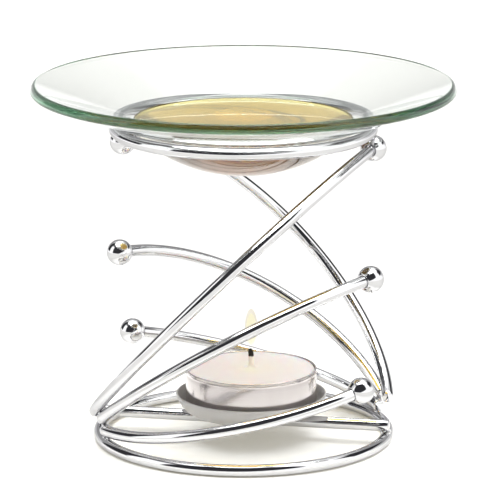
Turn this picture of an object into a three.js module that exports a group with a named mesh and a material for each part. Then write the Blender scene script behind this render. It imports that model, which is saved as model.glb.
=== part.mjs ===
// Oil warmer: a welded wire frame with six ball-ended arms, a tealight on a tray and a glass oil dish on top.
// Millimetres, +Z up, the frame's axis on Z, table at z = 0. Front is -Y, the left-hand arms start at -X.
import * as THREE from 'three';

// Wire frame
const WIRE = 3.5;
const WELD_GAP = 0.15;
const BASE_RING_RADIUS = 42.4;
const DISH_RING_RADIUS = 37.2;
const DISH_RING_LEVEL = 92.45;
const CROSS_BAR_ANGLE = -11.4;
const CROSS_BAR_OVERHANG = 1.0;

// Arms: how far the foot stands out and off the wire below, how far the wire runs on past it,
// how far it bows and leans up
const FOOT_ANGLE = 198.1;
const LOW_ARM = { footOut: 0, footLift: 0, tail: 0, bow: 18.6, lean: -4.9 };
const MIDDLE_ARM = { footOut: 0.9, footLift: 0, tail: 0, bow: 23.6, lean: 17.8 };
const TALL_ARM = { footOut: 2.1, footLift: 0.4, tail: 8, bow: 37.9, lean: 18.5 };

// Balls: the tall arms' balls carry the dish ring and sit that far inside it, the right one deeper
const BALL = 7.7;
const LOW_BALL = { radius: 47.7, angle: -45.4, height: 23 };
const MIDDLE_BALL = { radius: 40.2, angle: -24.5, height: 51.5 };
const LEFT_TALL_BALL = { inset: -0.4, angle: -1.8 };
const RIGHT_TALL_BALL = { inset: 1.2, angle: -12.5 };
const SOCKET_DEPTH = 4;
const SOCKET_CLEARANCE = 0.12;

// Glass dish: a spherical well, a knee and a straight flange
const DISH_RADIUS = 61.5;
const DISH_GLASS = 2.8;
const WELL_RADIUS = 47.3;
const WELL_DROP = 13.2;
const FLANGE_SLOPE = 19.5;
const KNEE_RADIUS = 6;
const RIM_ROUND = 0.9;
const OIL_DEPTH = 12.7;
const FILL_CLEARANCE = 0.3;

// Tealight and its tray
const SEAT_GAP = 0.3;
const TRAY_SHIFT = 2.3;
const SHEET = 0.7;
const TRAY_HEIGHT = 6;
const TRAY_MARGIN = 3;
const TRAY_WALL_ANGLE = 65;
const TRAY_BEND = 7;
const CUP_RADIUS = 19.2;
const CUP_HEIGHT = 12;
const CUP_CORNER = 2.2;
const CUP_FOIL = 0.4;
const CUP_BEAD = 0.45;
const WAX_BELOW_RIM = 0.7;
const WAX_CLEARANCE = 0.15;
const WAX_COLLAR_RADIUS = 4.8;
const WAX_COLLAR_RISE = 0.6;
const WICK = 1.6;
const WICK_ABOVE_WAX = 6.6;
const WICK_TAPER = 1.5;
const SUSTAINER_RADIUS = 7.5;
const SUSTAINER_NECK = 3;

// Facets
const WIRE_SIDES = 10;
const BAR_SIDES = 16;
const WIRE_STEP = 6.5;
const HOOP_SIDES = 10;
const HOOP_SEGMENTS = 56;
const BALL_SEGMENTS = 16;
const DISH_SEGMENTS = 48;
const CUP_SEGMENTS = 40;

const wireRadius = WIRE / 2;
const pitch = WIRE + WELD_GAP;
const radians = THREE.MathUtils.degToRad;
const point = (x, y) => new THREE.Vector2(x, y);
const model = new THREE.Group();

const chrome = { color: 0xd8dcdf, metalness: 1, roughness: 0.08 };
const trayMetal = { color: 0xb4b6b8, metalness: 1, roughness: 0.4 };
const foil = { color: 0xd2d0ce, metalness: 1, roughness: 0.3 };
const clearGlass = { color: 0xe8f2ec, metalness: 0, roughness: 0.03, transparent: true, opacity: 0.3 };
const oil = { color: 0xd9b64a, metalness: 0, roughness: 0.05, transparent: true, opacity: 0.7 };
const wax = { color: 0xf3e6dc, metalness: 0, roughness: 0.5 };
const cotton = { color: 0x2a241f, metalness: 0, roughness: 0.95 };
const tinned = { color: 0xbfc2c4, metalness: 1, roughness: 0.35 };

function addPiece(parent, name, geometry, look) {
  const mesh = new THREE.Mesh(geometry, new THREE.MeshStandardMaterial(look));
  mesh.name = name;
  parent.add(mesh);
  return mesh;
}

// A profile of (radius, height) points turned about Z
function revolve(profile, segments) {
  const geometry = new THREE.LatheGeometry(profile, segments);
  geometry.rotateX(Math.PI / 2);
  return geometry;
}

// Points of an arc about a centre, from one angle to another, both ends included
function arcPoints(centre, radius, from, to, steps) {
  const points = [];
  for (let i = 0; i <= steps; i += 1) {
    const angle = from + ((to - from) * i) / steps;
    points.push(point(centre.x + radius * Math.cos(angle), centre.y + radius * Math.sin(angle)));
  }
  return points;
}

// A closed wire hoop whose section has a flat underneath, so that it stands on a real face
function hoop(radius) {
  const corner = wireRadius / Math.cos(Math.PI / HOOP_SIDES);
  const start = -Math.PI / 2 + Math.PI / HOOP_SIDES;
  const section = arcPoints(point(radius, 0), corner, start, start + 2 * Math.PI, HOOP_SIDES);
  return revolve(section, HOOP_SEGMENTS);
}

// Base ring and cross bar
addPiece(model, 'base_ring', hoop(BASE_RING_RADIUS), chrome).position.z = wireRadius;

const barLevel = wireRadius + pitch;
const bar = new THREE.Group();
bar.rotation.z = radians(CROSS_BAR_ANGLE);
model.add(bar);
const barLength = 2 * (BASE_RING_RADIUS + CROSS_BAR_OVERHANG);
const barGeometry = new THREE.CylinderGeometry(wireRadius, wireRadius, barLength, BAR_SIDES);
const crossBar = addPiece(bar, 'cross_bar', barGeometry, chrome);
crossBar.rotation.z = Math.PI / 2;
crossBar.position.z = barLevel;

// A wire bent to one arc about the origin of its own XY plane, with a straight end that enters the ball
class BentWire extends THREE.Curve {
  constructor(radius, from, to, tang) {
    super();
    Object.assign(this, { radius, from, to, tang });
  }

  getPoint(t) {
    const arcLength = this.radius * (this.to - this.from);
    const along = t * (arcLength + this.tang);
    const angle = this.from + Math.min(along, arcLength) / this.radius;
    const past = Math.max(along - arcLength, 0);
    const x = this.radius * Math.sin(angle) + past * Math.cos(angle);
    const y = this.radius * Math.cos(angle) - past * Math.sin(angle);
    return new THREE.Vector3(x, y, 0);
  }
}

function onPlan(radius, degrees, height) {
  const angle = radians(degrees);
  return new THREE.Vector3(radius * Math.cos(angle), radius * Math.sin(angle), height);
}

// The plane of an arm: X from foot to ball, Y the way it bows, leaning up from level by the lean angle
function armPlane(foot, ball, lean) {
  const along = ball.clone().sub(foot).normalize();
  const level = along.clone().cross(new THREE.Vector3(0, 0, 1)).normalize();
  const upright = level.clone().cross(along);
  const bowed = level.multiplyScalar(Math.cos(lean)).addScaledVector(upright, Math.sin(lean));
  const plane = new THREE.Matrix4().makeBasis(along, bowed, along.clone().cross(bowed));
  return plane.setPosition(foot.clone().add(ball).multiplyScalar(0.5));
}

function wireSection() {
  return new THREE.Shape(arcPoints(point(0, 0), wireRadius, 0, 2 * Math.PI, WIRE_SIDES).slice(0, WIRE_SIDES));
}

// A ball on its own Y axis, with a blind socket from below for the wire's end
function ballWithSocket() {
  const radius = BALL / 2;
  const socket = wireRadius + SOCKET_CLEARANCE;
  const mouth = Math.asin(socket / radius);
  const outside = arcPoints(point(0, 0), radius, -Math.PI / 2 + mouth, Math.PI / 2, 10);
  outside[outside.length - 1].x = 0;
  const mouthHeight = outside[0].y;
  const inside = [point(0, mouthHeight + SOCKET_DEPTH), point(socket, mouthHeight + SOCKET_DEPTH)];
  return new THREE.LatheGeometry([...inside, ...outside], BALL_SEGMENTS);
}

// One arm and its ball: an arc that leaves the foot and runs straight along its tangent into the ball
function addArm(parent, side, tier, arm, level, ball) {
  const foot = onPlan(BASE_RING_RADIUS + arm.footOut, FOOT_ANGLE, level);
  const chord = foot.distanceTo(ball);
  const straight = Math.sqrt((BALL / 2) ** 2 - (wireRadius + SOCKET_CLEARANCE) ** 2);
  const skew = straight ** 2 / (2 * chord);
  const footSide = chord / 2 - skew;
  const bend = (footSide ** 2 + arm.bow ** 2) / (2 * arm.bow);
  const from = -Math.atan2(footSide, bend - arm.bow) - arm.tail / bend;
  const to = Math.atan2(chord / 2 + skew, bend - arm.bow) - Math.atan2(straight, bend);

  const group = new THREE.Group();
  group.applyMatrix4(armPlane(foot, ball, radians(arm.lean)));
  group.translateX(-skew);
  group.translateY(arm.bow - bend);
  parent.add(group);

  const path = new BentWire(bend, from, to, SOCKET_DEPTH - SEAT_GAP);
  const steps = Math.round((to - from) / radians(WIRE_STEP)) + 1;
  const wire = { steps, extrudePath: path, bevelEnabled: false };
  addPiece(group, `${side}_${tier}_arm`, new THREE.ExtrudeGeometry(wireSection(), wire), chrome);

  const tangent = new THREE.Vector3(Math.cos(to), -Math.sin(to), 0);
  const mouth = new THREE.Vector3(bend * Math.sin(to), bend * Math.cos(to), 0);
  const mesh = addPiece(group, `${side}_${tier}_ball`, ballWithSocket(), chrome);
  mesh.position.copy(mouth).addScaledVector(tangent, straight);
  mesh.quaternion.setFromUnitVectors(new THREE.Vector3(0, 1, 0), tangent);
}

// Feet stacked on the base ring, each wire resting on the one below
const lowLevel = wireRadius + pitch;
function stacked(below, arm, lower) {
  return below + arm.footLift + Math.sqrt(pitch ** 2 - (arm.footOut - lower.footOut) ** 2);
}
const middleLevel = stacked(lowLevel, MIDDLE_ARM, LOW_ARM);
const tallLevel = stacked(middleLevel, TALL_ARM, MIDDLE_ARM);

const freeBall = ({ radius, angle, height }) => onPlan(radius, angle, height);

// A ball that touches the dish ring from below, its centre a little inside the ring
function carryingBall({ inset, angle }) {
  const reach = BALL / 2 + wireRadius + WELD_GAP;
  const below = Math.sqrt(reach ** 2 - inset ** 2);
  return onPlan(DISH_RING_RADIUS - inset, angle, DISH_RING_LEVEL - below);
}

function addArms(side, turn, tallBall) {
  const group = new THREE.Group();
  group.rotation.z = turn;
  model.add(group);
  addArm(group, side, 'low', LOW_ARM, lowLevel, freeBall(LOW_BALL));
  addArm(group, side, 'middle', MIDDLE_ARM, middleLevel, freeBall(MIDDLE_BALL));
  addArm(group, side, 'tall', TALL_ARM, tallLevel, carryingBall(tallBall));
}

addArms('left', 0, LEFT_TALL_BALL);
addArms('right', Math.PI, RIGHT_TALL_BALL);

// Dish ring, resting on the two tall arms' balls
addPiece(model, 'dish_ring', hoop(DISH_RING_RADIUS), chrome).position.z = DISH_RING_LEVEL;

// One face of the glass, given by how far it lies above the underside: well, knee and flange
const slope = radians(FLANGE_SLOPE);
const wellCentre = point(0, DISH_RING_LEVEL - WELL_DROP + WELL_RADIUS);
const flangeNormal = point(-Math.sin(slope), Math.cos(slope));
const seatDistance = wireRadius + SEAT_GAP;
const flangeFoot = point(DISH_RING_RADIUS, DISH_RING_LEVEL).addScaledVector(flangeNormal, seatDistance);

function flangeHeight(radius, rise) {
  const foot = flangeFoot.clone().addScaledVector(flangeNormal, rise);
  return foot.y + (radius - foot.x) * Math.tan(slope);
}

function kneeCentre() {
  const reach = WELL_RADIUS + KNEE_RADIUS;
  const start = flangeFoot.clone().addScaledVector(flangeNormal, -KNEE_RADIUS).sub(wellCentre);
  const along = point(Math.cos(slope), Math.sin(slope));
  const middle = start.dot(along);
  const shift = -middle - Math.sqrt(middle ** 2 - start.lengthSq() + reach ** 2);
  const back = start.clone().addScaledVector(along, shift);
  const ahead = start.clone().addScaledVector(along, -2 * middle - shift);
  return (back.x > 0 ? back : ahead).add(wellCentre);
}

function glassFace(rise, wellSteps, kneeSteps) {
  const knee = kneeCentre();
  const toKnee = Math.atan2(knee.y - wellCentre.y, knee.x);
  const well = arcPoints(wellCentre, WELL_RADIUS - rise, -Math.PI / 2, toKnee, wellSteps);
  well[0].x = 0;
  const turned = arcPoints(knee, KNEE_RADIUS + rise, toKnee + Math.PI, Math.PI / 2 + slope, kneeSteps);
  return [...well, ...turned.slice(1)];
}

// Glass dish
const underside = glassFace(0, 8, 3);
const topside = glassFace(DISH_GLASS, 7, 3).reverse();
const rimInside = DISH_RADIUS - RIM_ROUND;
const rim = [
  point(rimInside, flangeHeight(rimInside, 0)),
  point(DISH_RADIUS, flangeHeight(DISH_RADIUS, RIM_ROUND)),
  point(DISH_RADIUS, flangeHeight(DISH_RADIUS, DISH_GLASS - RIM_ROUND)),
  point(rimInside, flangeHeight(rimInside, DISH_GLASS)),
];
addPiece(model, 'glass_dish', revolve([...underside, ...rim, ...topside], DISH_SEGMENTS), clearGlass);

// Oil: the well's inside filled to a level
const oilFloor = glassFace(DISH_GLASS + FILL_CLEARANCE, 8, 6);
const oilLevel = wellCentre.y - WELL_RADIUS + DISH_GLASS + OIL_DEPTH;
const wetted = oilFloor.filter((p) => p.y < oilLevel);
const last = wetted[wetted.length - 1];
const next = oilFloor[wetted.length];
const oilEdge = last.clone().lerp(next, (oilLevel - last.y) / (next.y - last.y));
addPiece(model, 'oil_fill', revolve([...wetted, oilEdge, point(0, oilLevel)], CUP_SEGMENTS), oil);

// Tray on the cross bar: a shallow bowl of sheet with a flat floor, a wide bend and a rounded lip
const trayCentre = onPlan(TRAY_SHIFT, CROSS_BAR_ANGLE, 0);
const trayFoot = barLevel + wireRadius + WELD_GAP;
const tray = new THREE.Group();
tray.position.set(trayCentre.x, trayCentre.y, trayFoot);
model.add(tray);

const wall = radians(TRAY_WALL_ANGLE);
const trayRim = point(CUP_RADIUS + TRAY_MARGIN, TRAY_HEIGHT);
const trayCorner = point(trayRim.x - TRAY_HEIGHT / Math.tan(wall), 0);
const trayBend = point(trayCorner.x - TRAY_BEND * Math.tan(wall / 2), TRAY_BEND);

function traySection() {
  const start = -Math.PI / 2;
  const downWall = point(-Math.cos(wall), -Math.sin(wall));
  const intoTray = point(-Math.sin(wall), Math.cos(wall));
  const lip = trayRim.clone().addScaledVector(downWall, SHEET / 2).addScaledVector(intoTray, SHEET / 2);
  return [
    point(0, 0),
    ...arcPoints(trayBend, TRAY_BEND, start, start + wall, 5),
    ...arcPoints(lip, SHEET / 2, start + wall, start + wall + Math.PI, 3),
    ...arcPoints(trayBend, TRAY_BEND - SHEET, start + wall, start, 5),
    point(0, SHEET),
  ];
}
addPiece(tray, 'tealight_tray', revolve(traySection(), CUP_SEGMENTS), trayMetal);

// How high the cup stands in the bowl: its corner rests in the bend or, further out, on the wall
function cupSeat() {
  const room = TRAY_BEND - SHEET - CUP_CORNER - SEAT_GAP;
  const out = CUP_RADIUS - CUP_CORNER - trayBend.x;
  const contact = Math.asin(THREE.MathUtils.clamp(out / room, 0, Math.sin(wall)));
  const pastBend = Math.max(out - room * Math.sin(contact), 0);
  return trayBend.y - room * Math.cos(contact) + pastBend * Math.tan(wall) - CUP_CORNER;
}

// Tealight cup: foil shell with rounded corner and rolled bead
const tealight = new THREE.Group();
tealight.position.z = cupSeat();
tray.add(tealight);
const cornerCentre = point(CUP_RADIUS - CUP_CORNER, CUP_CORNER);
const beadCentre = point(CUP_RADIUS - CUP_FOIL / 2, CUP_HEIGHT - CUP_BEAD);
const cupProfile = [
  point(0, 0),
  ...arcPoints(cornerCentre, CUP_CORNER, -Math.PI / 2, 0, 3),
  ...arcPoints(beadCentre, CUP_BEAD, -Math.PI / 3, Math.PI * 1.3, 6),
  ...arcPoints(cornerCentre, CUP_CORNER - CUP_FOIL, 0, -Math.PI / 2, 3),
  point(0, CUP_FOIL),
];
addPiece(tealight, 'tealight_cup', revolve(cupProfile, CUP_SEGMENTS), foil);

// Sustainer: a thin disc with a crimped neck round the foot of the wick
const sustainerFoot = CUP_FOIL + WAX_CLEARANCE;
const neckInside = WICK / 2 + WAX_CLEARANCE;
const neckOutside = neckInside + CUP_FOIL;
const neckTop = sustainerFoot + SUSTAINER_NECK;
const sustainerProfile = [
  point(0, sustainerFoot),
  point(SUSTAINER_RADIUS, sustainerFoot),
  point(SUSTAINER_RADIUS, sustainerFoot + CUP_FOIL),
  point(neckOutside, sustainerFoot + CUP_FOIL),
  point(neckOutside, neckTop),
  point(neckInside, neckTop),
  point(neckInside, sustainerFoot + CUP_FOIL),
  point(0, sustainerFoot + CUP_FOIL),
];
addPiece(tealight, 'wick_sustainer', revolve(sustainerProfile, 20), tinned);

// Wax: fills the cup round the sustainer and the wick
const waxTop = CUP_HEIGHT - WAX_BELOW_RIM;
const waxRadius = CUP_RADIUS - CUP_FOIL - WAX_CLEARANCE - CUP_BEAD;
const waxWall = CUP_RADIUS - CUP_FOIL - WAX_CLEARANCE;
const waxFoot = CUP_FOIL + WAX_CLEARANCE;
const waxOverDisc = sustainerFoot + CUP_FOIL + WAX_CLEARANCE;
const waxCorner = arcPoints(cornerCentre, CUP_CORNER - CUP_FOIL - WAX_CLEARANCE, -Math.PI / 2, 0, 3);
const waxProfile = [
  point(SUSTAINER_RADIUS + WAX_CLEARANCE, waxFoot),
  ...waxCorner,
  point(waxWall, waxTop - 4 * CUP_BEAD),
  point(waxRadius, waxTop - 3 * CUP_BEAD),
  point(waxRadius, waxTop),
  point(WAX_COLLAR_RADIUS, waxTop),
  point(neckInside, waxTop + WAX_COLLAR_RISE),
  point(neckInside, neckTop + WAX_CLEARANCE),
  point(neckOutside + WAX_CLEARANCE, neckTop + WAX_CLEARANCE),
  point(neckOutside + WAX_CLEARANCE, waxOverDisc),
  point(SUSTAINER_RADIUS + WAX_CLEARANCE, waxOverDisc),
  point(SUSTAINER_RADIUS + WAX_CLEARANCE, waxFoot),
];
addPiece(tealight, 'tealight_wax', revolve(waxProfile, CUP_SEGMENTS), wax);

// Wick: a cord standing in the sustainer's neck
const wickFoot = sustainerFoot + CUP_FOIL + WAX_CLEARANCE;
const wickTop = waxTop + WICK_ABOVE_WAX;
const wickProfile = [
  point(0, wickFoot),
  point(WICK / 2, wickFoot),
  point(WICK / 2, wickTop - WICK_TAPER),
  point(WICK / 4, wickTop),
  point(0, wickTop),
];
addPiece(tealight, 'tealight_wick', revolve(wickProfile, 12), cotton);

export default model;
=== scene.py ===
import math

import bmesh
import bpy
from mathutils import Matrix, Vector, noise


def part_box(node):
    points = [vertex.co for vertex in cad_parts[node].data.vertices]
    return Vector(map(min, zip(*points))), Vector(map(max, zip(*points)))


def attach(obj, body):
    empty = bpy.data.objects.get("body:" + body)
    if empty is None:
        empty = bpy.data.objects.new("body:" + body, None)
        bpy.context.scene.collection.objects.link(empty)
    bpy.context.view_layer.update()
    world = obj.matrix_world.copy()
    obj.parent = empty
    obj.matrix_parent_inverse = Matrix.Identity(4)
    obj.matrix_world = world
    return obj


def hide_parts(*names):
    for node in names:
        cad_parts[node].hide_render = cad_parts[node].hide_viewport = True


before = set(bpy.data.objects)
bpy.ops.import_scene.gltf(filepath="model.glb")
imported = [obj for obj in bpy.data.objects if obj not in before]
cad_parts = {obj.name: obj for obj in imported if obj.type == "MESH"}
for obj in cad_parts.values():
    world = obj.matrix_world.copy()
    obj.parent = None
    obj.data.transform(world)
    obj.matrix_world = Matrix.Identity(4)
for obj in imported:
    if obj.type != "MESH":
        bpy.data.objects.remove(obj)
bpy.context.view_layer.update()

MM = 0.001

# Sizes in metres that the solids have too, with places on the plan in degrees
WIRE_RADIUS = 1.75 * MM
WELD_GAP = 0.15 * MM
BASE_RING_RADIUS = 42.4 * MM
DISH_RING_RADIUS = 37.2 * MM
DISH_RING_LEVEL = 92.45 * MM
BAR_ANGLE = math.radians(-11.4)
BAR_OVERHANG = 1.0 * MM
FOOT_ANGLE = 198.1
BALL_RADIUS = 3.85 * MM
SOCKET_DEPTH = 4.0 * MM
SOCKET_CLEARANCE = 0.12 * MM
SEAT_GAP = 0.3 * MM
DISH_RADIUS = 61.5 * MM
GLASS = 2.8 * MM
WELL_RADIUS = 47.3 * MM
WELL_DROP = 13.2 * MM
FLANGE_SLOPE = math.radians(19.5)
KNEE_RADIUS = 6.0 * MM
OIL_DEPTH = 12.7 * MM
TRAY_SHIFT = 2.3 * MM
SHEET = 0.7 * MM
TRAY_HEIGHT = 6.0 * MM
TRAY_MARGIN = 3.0 * MM
TRAY_WALL_ANGLE = math.radians(65)
TRAY_BEND = 7.0 * MM
CUP_RADIUS = 19.2 * MM
CUP_HEIGHT = 12.0 * MM
CUP_CORNER = 2.2 * MM
CUP_FOIL = 0.4 * MM
WAX_BELOW_RIM = 0.7 * MM
WICK_RADIUS = 0.8 * MM
WICK_ABOVE_WAX = 6.6 * MM

PITCH = 2 * WIRE_RADIUS + WELD_GAP
RING_REACH = BALL_RADIUS + WIRE_RADIUS + WELD_GAP
ARMS = {
    "low": dict(out=0.0, lift=0.0, tail=0.0, bow=18.6 * MM, lean=math.radians(-4.9)),
    "middle": dict(out=0.9 * MM, lift=0.0, tail=0.0, bow=23.6 * MM, lean=math.radians(17.8)),
    "tall": dict(out=2.1 * MM, lift=0.4 * MM, tail=8.0 * MM, bow=37.9 * MM, lean=math.radians(18.5)),
}
FREE_BALLS = {"low": (47.7 * MM, -45.4, 23.0 * MM), "middle": (40.2 * MM, -24.5, 51.5 * MM)}
CARRYING_BALLS = {"left": (-0.4 * MM, -1.8), "right": (1.2 * MM, -12.5)}
HALF_TURN = Matrix.Rotation(math.pi, 4, "Z")
TURNS = (Matrix.Identity(4), HALF_TURN)

# Finer sizes that only the looks have
WIRE_EDGE = 0.18 * MM
SOCKET_EDGE = 0.12 * MM
SOCKET_EDGE_TURN = 0.05
BAR_WELD = (1.5 * MM, 0.7 * MM, 0.75 * MM)
BAR_WELD_OUT = 1.05 * MM
FOOT_WELD = (1.0 * MM, 2.2 * MM, 0.62 * MM)
FOOT_WELD_OUT = {"low": 0.0, "middle": 0.2 * MM, "tall": 1.3 * MM}
FOOT_WELD_TURN = 2.0
RING_WELD = (0.9 * MM, 1.5 * MM, 0.6 * MM)
WELD_LUMPS = 2.1
WELD_LUMP_DEPTH = 0.16
WELD_LUMP_LEAN = 1.7
BAR_WELD_SEED = 3.0
FOOT_WELD_SEED = 9.0
FOOT_WELD_SEED_RISE = 900
RING_WELD_SEED = 5.0
RIM_BULGE = 1.1 * MM
RIM_SQUARENESS = 0.8
FLANGE_SHARES = (0.72, 0.9)
OIL_INTO_GLASS = 0.12 * MM
OIL_EDGE_SLOPE = math.radians(34)
MENISCUS = ((0.55, 0.35), (-0.2, 0.14), (-0.9, 0.03), (-1.8, 0.0))
CUP_EDGE = 0.2 * MM
CUP_EDGE_TURN = (-math.pi / 3, math.pi * 1.3)
CUP_DOME = 0.15 * MM
CUP_DOME_SHARES = (0.6, 0.64)
CUP_FLOOR_RISE = 0.02 * MM
WAX_SWELL = 0.5 * MM
WAX_OFF_FOIL = 0.05 * MM
WICK_TIP = 0.25 * MM
WICK_LEAN = 4.0 * MM
WICK_LEAN_FROM = 0.75
WICK_TAPER = 0.3
WICK_TAPER_FROM = 0.94
WICK_TWIST = 14.0
STRANDS = 3
STRAND_CORE = 0.9
STRAND_DEPTH = 0.12
FRAY = 0.05
FRAY_ROUND = 2
FRAY_ALONG = 40
CHAR_ABOVE_WAX = (3.9 * MM, 4.4 * MM)
FLAME_HEIGHT = 12.4 * MM
FLAME_RADIUS = 1.9 * MM
FLAME_DIP = 0.5 * MM
FLAME_BELLY = 1.1
FLAME_BLUNTNESS = 0.5
FLAME_CORE = 0.78
FLAME_CORE_RISE = 0.45

# How finely the meshes are divided
WIRE_SIDES = 32
HOOP_SIDES = 36
HOOP_SEGMENTS = 224
BAR_STEPS = 24
ARM_STEPS = 90
BALL_STEPS = 44
BALL_SEGMENTS = 72
BEAD_DIVISIONS = 4
DISH_SEGMENTS = 256
OIL_SEGMENTS = 192
TRAY_SEGMENTS = 160
CUP_SEGMENTS = 192
CUP_WALL_STEPS = 8
WAX_SEGMENTS = 128
WICK_LEVELS = 90
WICK_SIDES = 36
FLAME_STEPS = 40
FLAME_SEGMENTS = 48


# Node graphs

class Graph:
    """A node tree with short ways to add and join nodes."""

    def __init__(self, tree):
        self.tree = tree
        self.nodes = tree.nodes

    def add(self, kind, **settings):
        node = self.nodes.new(kind)
        for key, value in settings.items():
            setattr(node, key, value)
        return node

    def put(self, socket, value):
        if isinstance(value, bpy.types.NodeSocket):
            self.tree.links.new(value, socket)
        else:
            socket.default_value = value

    def math(self, operation, first, second=0.0):
        node = self.add("ShaderNodeMath", operation=operation)
        self.put(node.inputs[0], first)
        self.put(node.inputs[1], second)
        return node.outputs[0]

    def ramp(self, value, low, high, to_low=0.0, to_high=1.0):
        node = self.add("ShaderNodeMapRange", interpolation_type="SMOOTHSTEP")
        self.put(node.inputs["Value"], value)
        limits = {"From Min": low, "From Max": high, "To Min": to_low, "To Max": to_high}
        for key, number in limits.items():
            node.inputs[key].default_value = number
        return node.outputs["Result"]

    def mix(self, factor, first, second):
        """Blend two colours: inputs 6 and 7 and output 2 are the node's sockets for colours."""
        node = self.add("ShaderNodeMix", data_type="RGBA")
        self.put(node.inputs["Factor"], factor)
        self.put(node.inputs[6], first)
        self.put(node.inputs[7], second)
        return node.outputs[2]

    def place(self, centre=(0.0, 0.0, 0.0)):
        coordinates = self.add("ShaderNodeTexCoord")
        shift = self.add("ShaderNodeVectorMath", operation="SUBTRACT")
        self.put(shift.inputs[0], coordinates.outputs["Object"])
        shift.inputs[1].default_value = centre
        return shift.outputs[0]

    def split(self, vector):
        node = self.add("ShaderNodeSeparateXYZ")
        self.put(node.inputs[0], vector)
        return node.outputs

    def from_axis(self, vector):
        """Distance from the upright axis through the origin."""
        x, y, _ = self.split(vector)
        squares = self.math("ADD", self.math("MULTIPLY", x, x), self.math("MULTIPLY", y, y))
        return self.math("SQRT", squares)

    def noise(self, vector, scale, detail=3.0):
        node = self.add("ShaderNodeTexNoise")
        self.put(node.inputs["Vector"], vector)
        node.inputs["Scale"].default_value = scale
        node.inputs["Detail"].default_value = detail
        return node.outputs["Fac"]

    def noise_along(self, value, scale, detail=3.0):
        node = self.add("ShaderNodeTexNoise", noise_dimensions="1D")
        self.put(node.inputs["W"], value)
        node.inputs["Scale"].default_value = scale
        node.inputs["Detail"].default_value = detail
        return node.outputs["Fac"]

    def bump(self, height, strength, distance):
        node = self.add("ShaderNodeBump")
        self.put(node.inputs["Height"], height)
        node.inputs["Strength"].default_value = strength
        node.inputs["Distance"].default_value = distance
        return node.outputs["Normal"]

    def absorb(self, colour, density):
        """Fill the material's inside with a tint that deepens with distance."""
        volume = self.add("ShaderNodeVolumeAbsorption")
        volume.inputs["Color"].default_value = colour
        volume.inputs["Density"].default_value = density
        self.put(self.nodes["Material Output"].inputs["Volume"], volume.outputs[0])


# Materials

NOISE_SPAN = (0.3, 0.7)


def new_material(name, **settings):
    """A material with one Principled shader whose plain sockets are set by name."""
    material = bpy.data.materials.new(name)
    material.use_nodes = True
    shader = material.node_tree.nodes["Principled BSDF"]
    for key, value in settings.items():
        shader.inputs[key.replace("_", " ")].default_value = value
    return material, Graph(material.node_tree), shader


def chrome_material(name, grain, pits):
    """Bright plating, faintly clouded and pitted."""
    edge_tint = (0.62, 0.62, 0.63, 1)
    cloudy = (0.64, 0.64, 0.652, 1)
    bright = (0.7, 0.698, 0.71, 1)
    cloud_span = (0.3, 0.75)
    roughness = (0.025, 0.07)
    material, graph, shader = new_material(name, Metallic=1.0, Specular_Tint=edge_tint)
    place = graph.place()
    cloud = graph.noise(place, grain)
    pitting = graph.noise(place, pits, detail=2.0)
    graph.put(shader.inputs["Base Color"], graph.mix(cloud, cloudy, bright))
    graph.put(shader.inputs["Roughness"], graph.ramp(cloud, *cloud_span, *roughness))
    graph.put(shader.inputs["Normal"], graph.bump(pitting, strength=0.035, distance=0.05 * MM))
    return material


def tray_material(centre):
    """Satin sheet with the fine rings of its spinning."""
    dark = (0.54, 0.53, 0.525, 1)
    pale = (0.61, 0.6, 0.595, 1)
    roughness = (0.4, 0.52)
    cloud_roughness = 0.06
    material, graph, shader = new_material("tray_satin", Metallic=0.55)
    place = graph.place(centre)
    rings = graph.noise_along(graph.from_axis(place), scale=5200.0, detail=4.0)
    cloud = graph.noise(place, scale=140.0, detail=5.0)
    graph.put(shader.inputs["Base Color"], graph.mix(cloud, dark, pale))
    ringed = graph.ramp(rings, *NOISE_SPAN, *roughness)
    clouded = graph.math("MULTIPLY", cloud, cloud_roughness)
    graph.put(shader.inputs["Roughness"], graph.math("ADD", ringed, clouded))
    graph.put(shader.inputs["Normal"], graph.bump(rings, strength=0.12, distance=0.06 * MM))
    return material


def foil_material(centre):
    """Drawn foil, streaked up its wall and slightly dented."""
    dark = (0.56, 0.52, 0.515, 1)
    pale = (0.61, 0.575, 0.57, 1)
    roughness = (0.15, 0.19)
    material, graph, shader = new_material("cup_foil", Metallic=1.0)
    place = graph.place(centre)
    x, y, _ = graph.split(place)
    streaks = graph.noise_along(graph.math("ARCTAN2", y, x), scale=9.0, detail=2.0)
    dents = graph.noise(place, scale=120.0, detail=2.0)
    graph.put(shader.inputs["Base Color"], graph.mix(streaks, dark, pale))
    graph.put(shader.inputs["Roughness"], graph.ramp(dents, *NOISE_SPAN, *roughness))
    graph.put(shader.inputs["Normal"], graph.bump(dents, strength=0.05, distance=0.2 * MM))
    return material


def glass_material():
    """Clear glass, green only through its edge."""
    edge_green = (0.0, 0.47, 0.16, 1.0)
    material, graph, shader = new_material(
        "slumped_glass", Transmission_Weight=1.0, IOR=1.52, Roughness=0.0, Base_Color=(1.0, 1.0, 1.0, 1.0)
    )
    wave = graph.noise(graph.place(), scale=45.0, detail=1.0)
    graph.put(shader.inputs["Normal"], graph.bump(wave, strength=0.03, distance=0.5 * MM))
    graph.absorb(edge_green, density=14.2)
    return material


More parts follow.
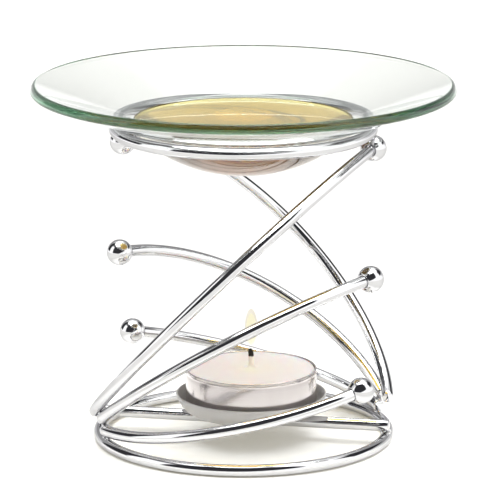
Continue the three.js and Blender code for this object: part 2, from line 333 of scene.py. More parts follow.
def oil_material(level):
    """Oil, straw-coloured at its surface and painted browner below: painted shade that darkens its underside.
    """
    painted_shade_brown = (0.68, 0.44, 0.2, 1)
    straw = (0.88, 0.79, 0.36, 1)
    inside = (0.8, 0.7, 0.0, 1.0)
    skin = (1.5 * MM, 0.3 * MM)
    material, graph, shader = new_material("warm_oil", Transmission_Weight=0.84, IOR=1.46, Roughness=0.0)
    place = graph.place()
    _, _, z = graph.split(place)
    # Painted shade: below the top the base colour turns brown, darkening the oil's underside.
    clear_of_painted_shade = graph.ramp(z, level - skin[0], level - skin[1])
    graph.put(shader.inputs["Base Color"], graph.mix(clear_of_painted_shade, painted_shade_brown, straw))
    wave = graph.noise(place, scale=70.0, detail=1.0)
    graph.put(shader.inputs["Normal"], graph.bump(wave, strength=0.02, distance=0.3 * MM))
    graph.absorb(inside, density=190.0)
    return material


def wax_material(centre):
    """Cream wax, warmer and smoother round the wick, with a faint painted glow over all of it that brightens
    it.
    """
    dark = (0.89, 0.835, 0.86, 1)
    pale = (0.94, 0.89, 0.93, 1)
    warm = (0.95, 0.87, 0.74, 1)
    warm_reach = (1.0 * MM, 11.0 * MM)
    warm_share = (0.55, 0.0)
    smooth_reach = (3.0 * MM, 12.0 * MM)
    roughness = (0.3, 0.5)
    # The emission is painted light: a faint warm glow that brightens all of the wax.
    material, graph, shader = new_material(
        "cream_wax", Subsurface_Weight=0.7, Subsurface_Radius=(1.0, 0.62, 0.4), Subsurface_Scale=3.0 * MM,
        Emission_Color=(1.0, 0.84, 0.78, 1.0), Emission_Strength=0.14
    )
    place = graph.place(centre)
    radius = graph.from_axis(place)
    cream = graph.mix(graph.noise(place, scale=180.0, detail=4.0), dark, pale)
    warmth = graph.ramp(radius, *warm_reach, *warm_share)
    grain = graph.noise(place, scale=420.0, detail=3.0)
    graph.put(shader.inputs["Base Color"], graph.mix(warmth, cream, warm))
    graph.put(shader.inputs["Roughness"], graph.ramp(radius, *smooth_reach, *roughness))
    graph.put(shader.inputs["Normal"], graph.bump(grain, strength=0.12, distance=0.12 * MM))
    return material


def wick_material(wax_top):
    """Waxed cotton below, charred above, with a ragged edge between; the waxed part has a faint painted glow.
    """
    waxed_pair = ((0.9, 0.82, 0.74, 1), (0.94, 0.87, 0.8, 1))
    charred_pair = ((0.006, 0.005, 0.004, 1), (0.035, 0.026, 0.02, 1))
    ragged = 0.8 * MM
    waxed_painted_glow_colour = (1.0, 0.86, 0.62, 1.0)
    glow = 0.08
    material, graph, shader = new_material("cotton_wick", Roughness=0.92, Emission_Color=waxed_painted_glow_colour)
    place = graph.place()
    _, _, z = graph.split(place)
    fibre = graph.noise(place, scale=2600.0, detail=4.0)
    uneven = graph.math("MULTIPLY", graph.math("SUBTRACT", fibre, 0.5), ragged)
    burnt = graph.ramp(graph.math("ADD", z, uneven), *[wax_top + height for height in CHAR_ABOVE_WAX])
    waxed = graph.mix(fibre, *waxed_pair)
    charred = graph.mix(fibre, *charred_pair)
    graph.put(shader.inputs["Base Color"], graph.mix(burnt, waxed, charred))
    # Painted light: the waxed part glows faintly, so that its shaded sides read as bright as the wax round
    # it.
    unburnt = graph.math("SUBTRACT", 1.0, burnt)
    graph.put(shader.inputs["Emission Strength"], graph.math("MULTIPLY", unburnt, glow))
    graph.put(shader.inputs["Normal"], graph.bump(fibre, strength=0.5, distance=0.1 * MM))
    return material


def flame_material(name, foot, glow, opacity):
    """Light that changes from the foot of the flame upwards: (low, high) colours and opacities."""
    colour_reach = foot + 0.6 * FLAME_HEIGHT
    opacity_reach = foot + 0.45 * FLAME_HEIGHT
    material, graph, shader = new_material(
        name, Base_Color=(0, 0, 0, 1), Roughness=1.0, Specular_IOR_Level=0.0, Emission_Strength=1.0
    )
    _, _, z = graph.split(graph.place())
    rise = graph.ramp(z, foot, colour_reach)
    graph.put(shader.inputs["Emission Color"], graph.mix(rise, *glow))
    graph.put(shader.inputs["Alpha"], graph.ramp(z, foot, opacity_reach, *opacity))
    return material


def steel_material():
    """Tinned sheet, slightly clouded."""
    dark = (0.6, 0.61, 0.62, 1)
    pale = (0.78, 0.78, 0.78, 1)
    roughness = (0.25, 0.45)
    material, graph, shader = new_material("tinned_sheet", Metallic=1.0)
    cloud = graph.noise(graph.place(), scale=500.0, detail=4.0)
    graph.put(shader.inputs["Base Color"], graph.mix(cloud, dark, pale))
    graph.put(shader.inputs["Roughness"], graph.ramp(cloud, *NOISE_SPAN, *roughness))
    return material


def floor_material():
    """Matt white that is darker past the object, with a painted warm glow that lifts and tints the shadows
    near the object, and a glowing backdrop further out.
    """
    near_pair = ((0.93, 0.93, 0.93, 1), (0.95, 0.95, 0.95, 1))
    far_pair = ((0.46, 0.46, 0.46, 1), (0.48, 0.48, 0.48, 1))
    # Painted shade colour: a faint warm glow that lightens the floor's shadows near the object and tints them
    # tan.
    painted_warm_shade_glow = (0.15, 0.14, 0.102, 1)
    far_glow = (0.8, 0.8, 0.8, 1)
    object_edge = (48 * MM, 95 * MM)
    backdrop_edge = (400 * MM, 1100 * MM)
    material, graph, shader = new_material(
        "studio_floor", Roughness=0.9, Specular_IOR_Level=0.0, Emission_Strength=1.0
    )
    place = graph.place()
    radius = graph.from_axis(place)
    cloud = graph.noise(place, scale=6.0)
    near = graph.mix(cloud, *near_pair)
    far = graph.mix(cloud, *far_pair)
    past_object = graph.ramp(radius, *object_edge)
    backdrop = graph.ramp(radius, *backdrop_edge)
    graph.put(shader.inputs["Base Color"], graph.mix(past_object, near, far))
    graph.put(shader.inputs["Emission Color"], graph.mix(backdrop, painted_warm_shade_glow, far_glow))
    return material


# Meshes

def finish_mesh(name, mesh_data, material):
    mesh = bpy.data.meshes.new(name)
    mesh_data.normal_update()
    bmesh.ops.recalc_face_normals(mesh_data, faces=mesh_data.faces)
    mesh_data.to_mesh(mesh)
    mesh_data.free()
    mesh.polygons.foreach_set("use_smooth", [True] * len(mesh.polygons))
    piece = bpy.data.objects.new(name, mesh)
    bpy.context.collection.objects.link(piece)
    mesh.materials.append(material)
    return piece


def bridge(data, lower, upper):
    """Faces between two rings of vertices; a ring of one vertex is a point on the axis."""
    count = max(len(lower), len(upper))
    for i in range(count):
        j = (i + 1) % count
        corners = [lower[i % len(lower)], lower[j % len(lower)], upper[j % len(upper)], upper[i % len(upper)]]
        unique = list(dict.fromkeys(corners))
        data.faces.new(unique)


def revolve(name, profile, material, segments, centre=(0.0, 0.0), closed=False):
    """A profile of (radius, height) points turned about a vertical axis."""
    on_axis = 1e-7
    data = bmesh.new()
    rings = []
    for radius, height in profile:
        count = 1 if radius < on_axis else segments
        angles = [2 * math.pi * i / count for i in range(count)]
        rings.append([
            data.verts.new((centre[0] + radius * math.cos(a), centre[1] + radius * math.sin(a), height))
            for a in angles
        ])
    pairs = list(zip(rings, rings[1:]))
    if closed:
        pairs.append((rings[-1], rings[0]))
    for lower, upper in pairs:
        bridge(data, lower, upper)
    return finish_mesh(name, data, material)


def arc_points(centre, radius, start, end, steps):
    angles = [start + (end - start) * i / steps for i in range(steps + 1)]
    return [(centre[0] + radius * math.cos(a), centre[1] + radius * math.sin(a)) for a in angles]


def path_directions(path):
    """The direction of a path at each of its points."""
    before = [path[0], *path[:-1]]
    after = [*path[1:], path[-1]]
    return [(b - a).normalized() for a, b in zip(before, after)]


def sweep(name, path, radius, material):
    """A round wire along a path, its cut ends slightly broken at the edge."""
    directions = path_directions(path)
    across = directions[0].orthogonal().normalized()
    rings = []
    for centre, direction in zip(path, directions):
        across = (across - direction * across.dot(direction)).normalized()
        rings.append((centre, across.copy(), direction.cross(across), radius))
    first, last = rings[0], rings[-1]
    rings[0] = (first[0] + directions[0] * WIRE_EDGE, *first[1:])
    rings[-1] = (last[0] - directions[-1] * WIRE_EDGE, *last[1:])
    rings.insert(0, (*first[:3], radius - WIRE_EDGE))
    rings.append((*last[:3], radius - WIRE_EDGE))
    data = bmesh.new()
    turns = [2 * math.pi * i / WIRE_SIDES for i in range(WIRE_SIDES)]
    loops = []
    for centre, u, v, r in rings:
        loops.append([data.verts.new(centre + u * (r * math.cos(t)) + v * (r * math.sin(t))) for t in turns])
    for lower, upper in zip(loops, loops[1:]):
        bridge(data, lower, upper)
    for loop, centre in ((loops[0], first[0]), (loops[-1], last[0])):
        bridge(data, loop, [data.verts.new(centre)])
    return finish_mesh(name, data, material)


def hoop(name, radius, level, material):
    section = arc_points((radius, level), WIRE_RADIUS, 0.0, 2 * math.pi, HOOP_SIDES)[:-1]
    return revolve(name, section, material, HOOP_SEGMENTS, closed=True)


def weld_bead(name, place, size, material, seed):
    """A small lumpy bead of weld metal, plated over with the wires that it joins."""
    data = bmesh.new()
    bmesh.ops.create_icosphere(data, subdivisions=BEAD_DIVISIONS, radius=1.0)
    for vertex in data.verts:
        lump = noise.noise(vertex.co * WELD_LUMPS + Vector((seed, seed * WELD_LUMP_LEAN, 0.0)))
        point = vertex.co * (1.0 + WELD_LUMP_DEPTH * lump)
        vertex.co = place @ Vector((point.x * size[0], point.y * size[1], point.z * size[2]))
    return finish_mesh(name, data, material)


def dress(piece, body):
    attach(piece, body)


def stand_for(piece, node, body):
    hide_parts(node)
    dress(piece, body)


# Wire frame

wire_chrome = chrome_material("wire_chrome", grain=260.0, pits=1900.0)
ball_chrome = chrome_material("ball_chrome", grain=420.0, pits=2400.0)

base_ring = hoop("base_ring_wire", BASE_RING_RADIUS, WIRE_RADIUS, wire_chrome)
stand_for(base_ring, "base_ring", "frame")

bar_level = WIRE_RADIUS + PITCH
bar_along = Vector((math.cos(BAR_ANGLE), math.sin(BAR_ANGLE), 0.0))
bar_middle = Vector((0.0, 0.0, bar_level))
bar_reach = BASE_RING_RADIUS + BAR_OVERHANG
bar_path = [bar_middle + bar_along * (bar_reach * (2 * i / BAR_STEPS - 1.0)) for i in range(BAR_STEPS + 1)]
cross_bar = sweep("cross_bar_wire", bar_path, WIRE_RADIUS, wire_chrome)
stand_for(cross_bar, "cross_bar", "frame")


def on_plan(radius, degrees, height):
    angle = math.radians(degrees)
    return Vector((radius * math.cos(angle), radius * math.sin(angle), height))


def arm_plane(foot, ball, lean):
    """Foot to ball along X, the bow along Y, leaning up from level by the lean angle."""
    along = (ball - foot).normalized()
    level = along.cross(Vector((0, 0, 1))).normalized()
    bowed = level * math.cos(lean) + level.cross(along) * math.sin(lean)
    plane = Matrix((along, bowed, along.cross(bowed))).transposed().to_4x4()
    return Matrix.Translation((foot + ball) / 2) @ plane


def ball_profile():
    """The ball about its own axis, with the blind socket for the wire's end below."""
    socket = WIRE_RADIUS + SOCKET_CLEARANCE
    mouth = math.asin(socket / BALL_RADIUS)
    start = -math.pi / 2 + mouth + SOCKET_EDGE_TURN
    outside = arc_points((0.0, 0.0), BALL_RADIUS, start, math.pi / 2, BALL_STEPS)
    outside[-1] = (0.0, BALL_RADIUS)
    rim_height = -BALL_RADIUS * math.cos(mouth)
    roof = rim_height + SOCKET_DEPTH
    return [(0.0, roof), (socket, roof), (socket, rim_height + SOCKET_EDGE), *outside]


def arm_and_ball(side, tier, level, ball, turn):
    """One arm and its ball: an arc from the foot, then straight along its tangent into the ball."""
    size = ARMS[tier]
    bow = size["bow"]
    foot = on_plan(BASE_RING_RADIUS + size["out"], FOOT_ANGLE, level)
    chord = (ball - foot).length
    straight = math.sqrt(BALL_RADIUS**2 - (WIRE_RADIUS + SOCKET_CLEARANCE) ** 2)
    skew = straight**2 / (2 * chord)
    foot_side = chord / 2 - skew
    bend = (foot_side**2 + bow**2) / (2 * bow)
    start = -math.atan2(foot_side, bend - bow) - size["tail"] / bend
    end = math.atan2(chord / 2 + skew, bend - bow) - math.atan2(straight, bend)
    place = turn @ arm_plane(foot, ball, size["lean"]) @ Matrix.Translation((-skew, bow - bend, 0.0))

    angles = [start + (end - start) * i / ARM_STEPS for i in range(ARM_STEPS + 1)]
    flat = [Vector((bend * math.sin(a), bend * math.cos(a), 0.0)) for a in angles]
    tangent = Vector((math.cos(end), -math.sin(end), 0.0))
    path = flat + [flat[-1] + tangent * (SOCKET_DEPTH - SEAT_GAP)]
    arm = sweep(f"{side}_{tier}_arm_wire", [place @ p for p in path], WIRE_RADIUS, wire_chrome)
    stand_for(arm, f"{side}_{tier}_arm", "frame")

    centre = place @ (flat[-1] + tangent * straight)
    axis = place.to_3x3() @ tangent
    sphere = revolve(f"{side}_{tier}_ball_bead", ball_profile(), ball_chrome, BALL_SEGMENTS)
    sphere.data.transform(Matrix.Translation(centre) @ axis.to_track_quat("Z", "Y").to_matrix().to_4x4())
    stand_for(sphere, f"{side}_{tier}_ball", "frame")
    return centre


def stacked(below, tier, lower):
    """The level of a foot that lies on the one below it, a little further out."""
    step = ARMS[tier]["out"] - ARMS[lower]["out"]
    return below + ARMS[tier]["lift"] + math.sqrt(PITCH**2 - step**2)


def carrying_ball(inset, degrees):
    """A ball that touches the dish ring from below, its centre a little inside the ring."""
    below = math.sqrt(RING_REACH**2 - inset**2)
    return on_plan(DISH_RING_RADIUS - inset, degrees, DISH_RING_LEVEL - below)


low_level = WIRE_RADIUS + PITCH
middle_level = stacked(low_level, "middle", "low")
tall_level = stacked(middle_level, "tall", "middle")
tall_balls = []
for side, turn in zip(("left", "right"), TURNS):
    arm_and_ball(side, "low", low_level, on_plan(*FREE_BALLS["low"]), turn)
    arm_and_ball(side, "middle", middle_level, on_plan(*FREE_BALLS["middle"]), turn)
    tall_balls.append(arm_and_ball(side, "tall", tall_level, carrying_ball(*CARRYING_BALLS[side]), turn))

dish_ring = hoop("dish_ring_wire", DISH_RING_RADIUS, DISH_RING_LEVEL, wire_chrome)
stand_for(dish_ring, "dish_ring", "frame")

# Weld beads: bar to base ring, feet to base ring, balls to dish ring


def add_weld(name, place, size, seed):
    bead = weld_bead(name, place, size, wire_chrome, seed)
    dress(bead, "frame")


bar_seat = bar_along * BASE_RING_RADIUS + Vector((0, 0, WIRE_RADIUS + PITCH / 2))
for index, name in enumerate(("right", "left")):
    bar_end = TURNS[index] @ Matrix.Translation(bar_seat) @ Matrix.Rotation(BAR_ANGLE, 4, "Z")
    for hand, shift in (("front", -1), ("back", 1)):
        place = bar_end @ Matrix.Translation((0.0, shift * BAR_WELD_OUT, 0.0))
        add_weld(f"{name}_bar_weld_{hand}", place, BAR_WELD, seed=BAR_WELD_SEED * index + shift)

foot_levels = {"low": low_level, "middle": middle_level, "tall": tall_level}
foot_facing = Matrix.Rotation(math.radians(FOOT_ANGLE), 4, "Z")
for index, name in enumerate(("left", "right")):
    for tier, level in foot_levels.items():
        radius = BASE_RING_RADIUS + FOOT_WELD_OUT[tier]
        spot = on_plan(radius, FOOT_ANGLE + FOOT_WELD_TURN, level - PITCH / 2)
        place = TURNS[index] @ Matrix.Translation(spot) @ foot_facing
        seed = FOOT_WELD_SEED + index + level * FOOT_WELD_SEED_RISE
        add_weld(f"{name}_{tier}_foot_weld", place, FOOT_WELD, seed)
    ball = tall_balls[index]
    rim = Vector((ball.x, ball.y, 0.0)).normalized() * DISH_RING_RADIUS
    touch = ball.lerp(Vector((rim.x, rim.y, DISH_RING_LEVEL)), BALL_RADIUS / RING_REACH)
    place = Matrix.Translation(touch) @ Matrix.Rotation(math.atan2(ball.y, ball.x), 4, "Z")
    add_weld(f"{name}_dish_ring_weld", place, RING_WELD, seed=RING_WELD_SEED + index)

# Glass dish: well, knee and flange, one face at each distance above the underside

well_centre = Vector((0.0, DISH_RING_LEVEL - WELL_DROP + WELL_RADIUS))
flange_normal = Vector((-math.sin(FLANGE_SLOPE), math.cos(FLANGE_SLOPE)))
flange_along = Vector((math.cos(FLANGE_SLOPE), math.sin(FLANGE_SLOPE)))
flange_foot = Vector((DISH_RING_RADIUS, DISH_RING_LEVEL)) + flange_normal * (WIRE_RADIUS + SEAT_GAP)


def knee_centre():
    """The centre of the bend that touches both the well and the flange."""
    reach = WELL_RADIUS + KNEE_RADIUS
    start = flange_foot - flange_normal * KNEE_RADIUS - well_centre
    middle = start.dot(flange_along)
    root = math.sqrt(middle**2 - start.length_squared + reach**2)
    options = [start + flange_along * (-middle + sign * root) for sign in (-1, 1)]
    return next(option for option in options if option.x > 0) + well_centre


def flange_height(radius, rise):
    """The height of the flange's face that lies this far above its underside."""
    foot = flange_foot + flange_normal * rise
    return foot.y + (radius - foot.x) * math.tan(FLANGE_SLOPE)


def glass_face(rise, well_steps=40, knee_steps=14):
    """The well and the knee of the face that lies this far above the underside."""
    knee = knee_centre()
    to_knee = math.atan2(knee.y - well_centre.y, knee.x)
    well = arc_points(well_centre, WELL_RADIUS - rise, -math.pi / 2, to_knee, well_steps)
    well[0] = (0.0, well[0][1])
    turned = arc_points(knee, KNEE_RADIUS + rise, to_knee + math.pi, math.pi / 2 + FLANGE_SLOPE, knee_steps)
    return well + turned[1:]


def rounded_rim(steps=18):
    """The ground edge of the flange, from its lower to its upper face, ending at the dish's radius."""
    bulges = []
    for x, y in arc_points((0.0, 0.0), 1.0, -math.pi / 2, math.pi / 2, steps):
        out = abs(x) ** RIM_SQUARENESS * RIM_BULGE
        up = math.copysign(abs(y) ** RIM_SQUARENESS, y) * GLASS / 2
        bulges.append(flange_along * out + flange_normal * up)
    inner = DISH_RADIUS - max(bulge.x for bulge in bulges)
    edge = Vector((inner, flange_height(inner, GLASS / 2)))
    return [tuple(edge + bulge) for bulge in bulges]


def dish_profile():
    rim = rounded_rim()
    ramps = [DISH_RING_RADIUS + share * (rim[0][0] - DISH_RING_RADIUS) for share in FLANGE_SHARES]
    below = [(r, flange_height(r, 0.0)) for r in ramps]
    above = [(r, flange_height(r, GLASS)) for r in ramps[::-1]]
    return glass_face(0.0) + below + rim + above + glass_face(GLASS)[::-1]


glass_dish = revolve("glass_dish_clear", dish_profile(), glass_material(), DISH_SEGMENTS)
stand_for(glass_dish, "glass_dish", "dish")

oil_level = well_centre.y - WELL_RADIUS + GLASS + OIL_DEPTH


def oil_profile():
    """The well's own curve up to the oil's level, then the meniscus, in mm out and up, and the flat top."""
    face = glass_face(GLASS - OIL_INTO_GLASS, well_steps=60, knee_steps=20)
    bed = [point for point in face if point[1] < oil_level]
    edge = bed[-1][0] + (oil_level - bed[-1][1]) / math.tan(OIL_EDGE_SLOPE)
    meniscus = [(edge + out * MM, oil_level + up * MM) for out, up in MENISCUS]
    return bed + meniscus + [(0.5 * edge, oil_level), (0.0, oil_level)]


oil_fill = revolve("oil_in_well", oil_profile(), oil_material(oil_level), OIL_SEGMENTS)
stand_for(oil_fill, "oil_fill", "dish")

# Tealight tray

tray_x = TRAY_SHIFT * math.cos(BAR_ANGLE)
tray_y = TRAY_SHIFT * math.sin(BAR_ANGLE)
tray_axis = (tray_x, tray_y)
tray_foot = bar_level + WIRE_RADIUS + WELD_GAP
tray_rim = Vector((CUP_RADIUS + TRAY_MARGIN, tray_foot + TRAY_HEIGHT))
tray_corner = tray_rim.x - TRAY_HEIGHT / math.tan(TRAY_WALL_ANGLE)
tray_bend = Vector((tray_corner - TRAY_BEND * math.tan(TRAY_WALL_ANGLE / 2), tray_foot + TRAY_BEND))


def tray_profile(steps=16):
    """A shallow bowl of sheet with a flat floor, a wide bend and a rounded lip."""
    start = -math.pi / 2
    end = start + TRAY_WALL_ANGLE
    down_wall = Vector((-math.cos(TRAY_WALL_ANGLE), -math.sin(TRAY_WALL_ANGLE)))
    into_tray = Vector((-math.sin(TRAY_WALL_ANGLE), math.cos(TRAY_WALL_ANGLE)))
    lip = tray_rim + (down_wall + into_tray) * (SHEET / 2)
    return [
        (0.0, tray_foot),
        *arc_points(tray_bend, TRAY_BEND, start, end, steps),
        *arc_points(lip, SHEET / 2, end, end + math.pi, steps),
        *arc_points(tray_bend, TRAY_BEND - SHEET, end, start, steps),
        (0.0, tray_foot + SHEET),
    ]


tray_look = tray_material((tray_x, tray_y, 0.0))
tray = revolve("tealight_tray_dish", tray_profile(), tray_look, TRAY_SEGMENTS, tray_axis)
stand_for(tray, "tealight_tray", "frame")

# Tealight: cup, wax, wick and flame


def cup_seat():
    """How high the cup stands in the bowl: its corner rests in the bend."""
    room = TRAY_BEND - SHEET - CUP_CORNER - SEAT_GAP
    out = CUP_RADIUS - CUP_CORNER - tray_bend.x
    return tray_bend.y - math.sqrt(room**2 - out**2) - CUP_CORNER


cup_foot = cup_seat()
cup_corner = (CUP_RADIUS - CUP_CORNER, cup_foot + CUP_CORNER)


def cup_profile(corner_steps=10, edge_steps=22):
    """A cup of foil with a domed floor, a rounded corner and a plain edge."""
    edge = (CUP_RADIUS - CUP_FOIL / 2, cup_foot + CUP_HEIGHT - CUP_EDGE)
    wall = CUP_HEIGHT - CUP_CORNER - 2 * CUP_EDGE
    rises = [wall * i / CUP_WALL_STEPS for i in range(1, CUP_WALL_STEPS)]
    return [
        (0.0, cup_foot + CUP_DOME),
        (CUP_RADIUS * CUP_DOME_SHARES[0], cup_foot + CUP_DOME),
        (CUP_RADIUS * CUP_DOME_SHARES[1], cup_foot),
        *arc_points(cup_corner, CUP_CORNER, -math.pi / 2, 0.0, corner_steps),
        *[(CUP_RADIUS, cup_corner[1] + rise) for rise in rises],
        *arc_points(edge, CUP_EDGE, *CUP_EDGE_TURN, edge_steps),
        *arc_points(cup_corner, CUP_CORNER - CUP_FOIL, 0.0, -math.pi / 2, corner_steps),
        (0.0, cup_foot + CUP_FOIL + CUP_FLOOR_RISE),
    ]


foil_look = foil_material((tray_x, tray_y, cup_foot))
cup = revolve("tealight_cup_foil", cup_profile(), foil_look, CUP_SEGMENTS, tray_axis)
stand_for(cup, "tealight_cup", "tealight")

wax_top = cup_foot + CUP_HEIGHT - WAX_BELOW_RIM


def wax_profile(corner_steps=8):
    """Wax drawn in at the foil, slightly hollow across and drawn up round the wick."""
    inside = CUP_RADIUS - CUP_FOIL
    level = wax_top + WAX_SWELL
    base = arc_points(cup_corner, CUP_CORNER - CUP_FOIL - WAX_OFF_FOIL, -math.pi / 2, 0.0, corner_steps)
    drawn_in = [
        (inside - 0.1 * MM, level - 1.0 * MM),
        (inside - 0.32 * MM, level - 0.25 * MM),
        (inside - 0.45 * MM, level + 0.02 * MM),
    ]
    hollow = [
        (inside - 1.2 * MM, level - 0.12 * MM),
        (inside - 3.0 * MM, level - 0.18 * MM),
        (inside * 0.55, level - 0.15 * MM),
        (4.2 * MM, level - 0.08 * MM),
    ]
    collar = [
        (2.0 * MM, level + 0.08 * MM),
        (1.15 * MM, level + 0.5 * MM),
        (0.9 * MM, level + 1.1 * MM),
        (0.0, level + 1.3 * MM),
    ]
    return [(0.0, cup_foot + CUP_FOIL + WAX_OFF_FOIL), *base, *drawn_in, *hollow, *collar]


wax_look = wax_material((tray_x, tray_y, cup_foot))
wax = revolve("tealight_wax_fill", wax_profile(), wax_look, WAX_SEGMENTS, tray_axis)
stand_for(wax, "tealight_wax", "tealight")


def wick_radius(angle, share):
    """The outline of three frayed strands at a share of the wick's height, narrowed at the tip."""
    taper = 1.0 - WICK_TAPER * max(0.0, share - WICK_TAPER_FROM) / (1.0 - WICK_TAPER_FROM)
    strands = STRAND_CORE + STRAND_DEPTH * abs(math.cos(STRANDS / 2 * (angle - WICK_TWIST * share)))
    spot = Vector((math.cos(angle) * FRAY_ROUND, math.sin(angle) * FRAY_ROUND, share * FRAY_ALONG))
    fray = FRAY * noise.noise(spot)
    return WICK_RADIUS * taper * (strands + fray)


def twisted_wick(name, foot, top, material):
    """A cord of three strands laid up together, slightly bent over at its burnt tip."""
    data = bmesh.new()
    angles = [2 * math.pi * k / WICK_SIDES for k in range(WICK_SIDES)]
    rings = []
    for i in range(WICK_LEVELS + 1):
        share = i / WICK_LEVELS
        height = foot + (top - foot) * share
        bend = -max(0.0, share - WICK_LEAN_FROM) ** 2 * WICK_LEAN
        ring = []
        for angle in angles:
            radius = wick_radius(angle, share)
            x = tray_x + bend + radius * math.cos(angle)
            y = tray_y + radius * math.sin(angle)
            ring.append(data.verts.new((x, y, height)))
        rings.append(ring)
    for lower, upper in zip(rings, rings[1:]):
        bridge(data, lower, upper)
    tip = data.verts.new((tray_x + bend, tray_y, top + WICK_TIP))
    bridge(data, rings[-1], [tip])
    heel = data.verts.new((tray_x, tray_y, foot))
    bridge(data, [heel], rings[0])
    return finish_mesh(name, data, material)


wick_top = wax_top + WICK_ABOVE_WAX
wick_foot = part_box("tealight_wick")[0].z
wick = twisted_wick("tealight_wick_cord", wick_foot, wick_top - WICK_TIP, wick_material(wax_top))
stand_for(wick, "tealight_wick", "tealight")

flame_foot = wick_top - FLAME_DIP


def flame_profile(share):
    """A blunt drop, widest above its middle, as a share of the whole flame."""
    height = FLAME_HEIGHT * share
    foot = flame_foot + (FLAME_HEIGHT - height) * FLAME_CORE_RISE
    side = []
    for i in range(1, FLAME_STEPS):
        rise = i / FLAME_STEPS
        girth = math.sin(math.pi * rise**FLAME_BELLY) ** FLAME_BLUNTNESS
        side.append((girth * FLAME_RADIUS * share, foot + height * rise))
    return [(0.0, foot), *side, (0.0, foot + height)]


shell_glow = ((0.85, 0.8, 0.6, 1), (0.72, 0.64, 0.48, 1))
core_glow = ((1.0, 1.0, 0.7, 1), (1.15, 1.12, 0.8, 1))
shell_look = flame_material("flame_shell", flame_foot, shell_glow, opacity=(0.03, 0.42))
core_look = flame_material("flame_core", flame_foot, core_glow, opacity=(0.2, 0.9))
flame = revolve("candle_flame_shell", flame_profile(1.0), shell_look, FLAME_SEGMENTS, tray_axis)
flame_core = revolve("candle_flame_core", flame_profile(FLAME_CORE), core_look, FLAME_SEGMENTS, tray_axis)
for piece in (flame, flame_core):
    dress(piece, "tealight")

# The flame's warm light, as the chrome round it shows it
GLOW_COLOUR = (1.0, 0.86, 0.25)
GLOW_POWER = 0.0008
GLOW_SIZE = 5.0 * MM
GLOW_RISE = 0.55 * FLAME_HEIGHT
glow_data = bpy.data.lights.new("flame_glow", "POINT")
glow_data.color = GLOW_COLOUR
glow_data.energy = GLOW_POWER
glow_data.shadow_soft_size = GLOW_SIZE
flame_glow = bpy.data.objects.new("flame_glow", glow_data)
flame_glow.location = (tray_x, tray_y, flame_foot + GLOW_RISE)
flame_glow.parent = flame
flame_glow.visible_camera = False
flame_glow.visible_transmission = False
bpy.context.collection.objects.link(flame_glow)

steel = steel_material()
for material_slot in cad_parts["wick_sustainer"].material_slots:
    material_slot.material = steel

# Studio floor

FLOOR_SIZE = 3.0
floor_data = bmesh.new()
bmesh.ops.create_grid(floor_data, x_segments=8, y_segments=8, size=FLOOR_SIZE)
floor = finish_mesh("studio_floor", floor_data, floor_material())

# Studio room: white overhead and at both sides, with dark patches in front, high on the left and behind
# Angles are in degrees: azimuth from the front towards the right, elevation up from level

SOFT = math.radians(5)
FRONT_PATCH = ((-64, 50), (-15, 75))
FRONT_EDGE_START = -15
FRONT_EDGE_SLOPE = 0.42
FRONT_EDGE_SPAN = (-5, 90)
HIGH_LEFT_PATCH = ((-98, -60), (44, 60))
HIGH_LEFT_DEPTH = 0.9
BACK_LEFT_PATCH = ((-135, -98), (3, 58))
BACK_RIGHT_PATCH = ((95, 143), (18, 48))
FAR_WALL_TURNS = (112, 190)
FAR_WALL_HEIGHTS = (10, 40)
FAR_WALL_DEPTH = 0.55
BACK_STARTS = (math.radians(115), math.radians(135))
OVERHEAD_STARTS = (math.radians(58), math.radians(70))
DARK_ROOM = (0.045, 0.045, 0.05, 1)
SIDE_WALLS = (1.6, 1.6, 1.6, 1)
BACK_WALLS = (1.0, 1.0, 1.0, 1)
CEILING = (4.0, 4.0, 4.0, 1)

world = bpy.data.worlds.new("studio")
world.use_nodes = True
bpy.context.scene.world = world
sky = Graph(world.node_tree)
direction = sky.add("ShaderNodeTexCoord").outputs["Generated"]
east, north, up = sky.split(direction)
azimuth = sky.math("ARCTAN2", east, sky.math("MULTIPLY", north, -1.0))
elevation = sky.math("ARCSINE", up)
turned_away = sky.math("ABSOLUTE", azimuth)


def between(value, low, high):
    """1 between two angles in degrees, with soft edges."""
    rising = sky.ramp(value, math.radians(low) - SOFT / 2, math.radians(low) + SOFT / 2)
    falling = sky.ramp(value, math.radians(high) - SOFT / 2, math.radians(high) + SOFT / 2, 1.0, 0.0)
    return sky.math("MULTIPLY", rising, falling)


def patch(azimuths, elevations, depth=1.0):
    """How dark the room is between two azimuths and two elevations."""
    inside = sky.math("MULTIPLY", between(azimuth, *azimuths), between(elevation, *elevations))
    return sky.math("MULTIPLY", inside, depth)


# The dark front of the room ends higher towards the right
rightward = sky.math("MAXIMUM", sky.math("ADD", azimuth, math.radians(-FRONT_EDGE_START)), 0.0)
above_edge = sky.math("SUBTRACT", elevation, sky.math("MULTIPLY", rightward, FRONT_EDGE_SLOPE))
front = sky.math("MULTIPLY", patch(*FRONT_PATCH), between(above_edge, *FRONT_EDGE_SPAN))

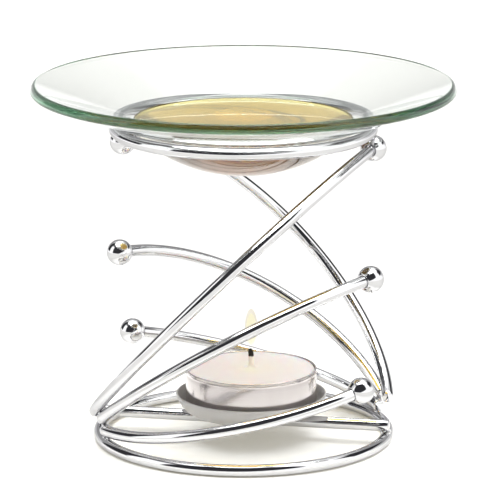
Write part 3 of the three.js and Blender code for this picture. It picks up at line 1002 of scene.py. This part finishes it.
far_wall = sky.math("MULTIPLY", between(turned_away, *FAR_WALL_TURNS), between(elevation, *FAR_WALL_HEIGHTS))
dark = sky.math("MAXIMUM", front, sky.math("MULTIPLY", far_wall, FAR_WALL_DEPTH))
for shade in (patch(*HIGH_LEFT_PATCH, HIGH_LEFT_DEPTH), patch(*BACK_LEFT_PATCH), patch(*BACK_RIGHT_PATCH)):
    dark = sky.math("MAXIMUM", dark, shade)

walls = sky.mix(sky.ramp(turned_away, *BACK_STARTS), SIDE_WALLS, BACK_WALLS)
light = sky.mix(sky.ramp(elevation, *OVERHEAD_STARTS), walls, CEILING)
sky.put(sky.nodes["Background"].inputs["Color"], sky.mix(dark, light, DARK_ROOM))

# A soft box straight above, which lights the floor and leaves no glare on the glass
BOX_SIZE = 1.5
BOX_HEIGHT = 1.3
BOX_POWER = 27.0
box_data = bpy.data.lights.new("soft_box", "AREA")
box_data.shape = "DISK"
box_data.size = BOX_SIZE
box_data.energy = BOX_POWER
soft_box = bpy.data.objects.new("soft_box", box_data)
soft_box.location = (0.0, 0.0, BOX_HEIGHT)
soft_box.visible_camera = False
soft_box.visible_glossy = False
bpy.context.collection.objects.link(soft_box)

# Camera where the photograph was taken from

TARGET = Vector((1.91, 0.0, 56.14)) * MM
DISTANCE = 1156.2 * MM
TILT = math.radians(13.39)
FOCAL_PIXELS = 3970.6
PICTURE_PIXELS = 500
camera_data = bpy.data.cameras.new("camera")
camera_data.sensor_width = 36.0
camera_data.lens = FOCAL_PIXELS * camera_data.sensor_width / PICTURE_PIXELS
camera_data.clip_start = 0.01
camera_data.clip_end = 20.0
camera = bpy.data.objects.new("camera", camera_data)
back = Vector((0.0, -math.cos(TILT), math.sin(TILT)))
camera.location = TARGET + back * DISTANCE
camera.rotation_mode = "QUATERNION"
camera.rotation_quaternion = (-back).to_track_quat("-Z", "Y")
bpy.context.collection.objects.link(camera)
bpy.context.scene.camera = camera
bpy.context.scene.view_settings.view_transform = "Standard"

# Enough bounces for light that runs inside the edge of the glass
bounces = bpy.context.scene.cycles
bounces.max_bounces = 32
bounces.glossy_bounces = 24
bounces.transmission_bounces = 32
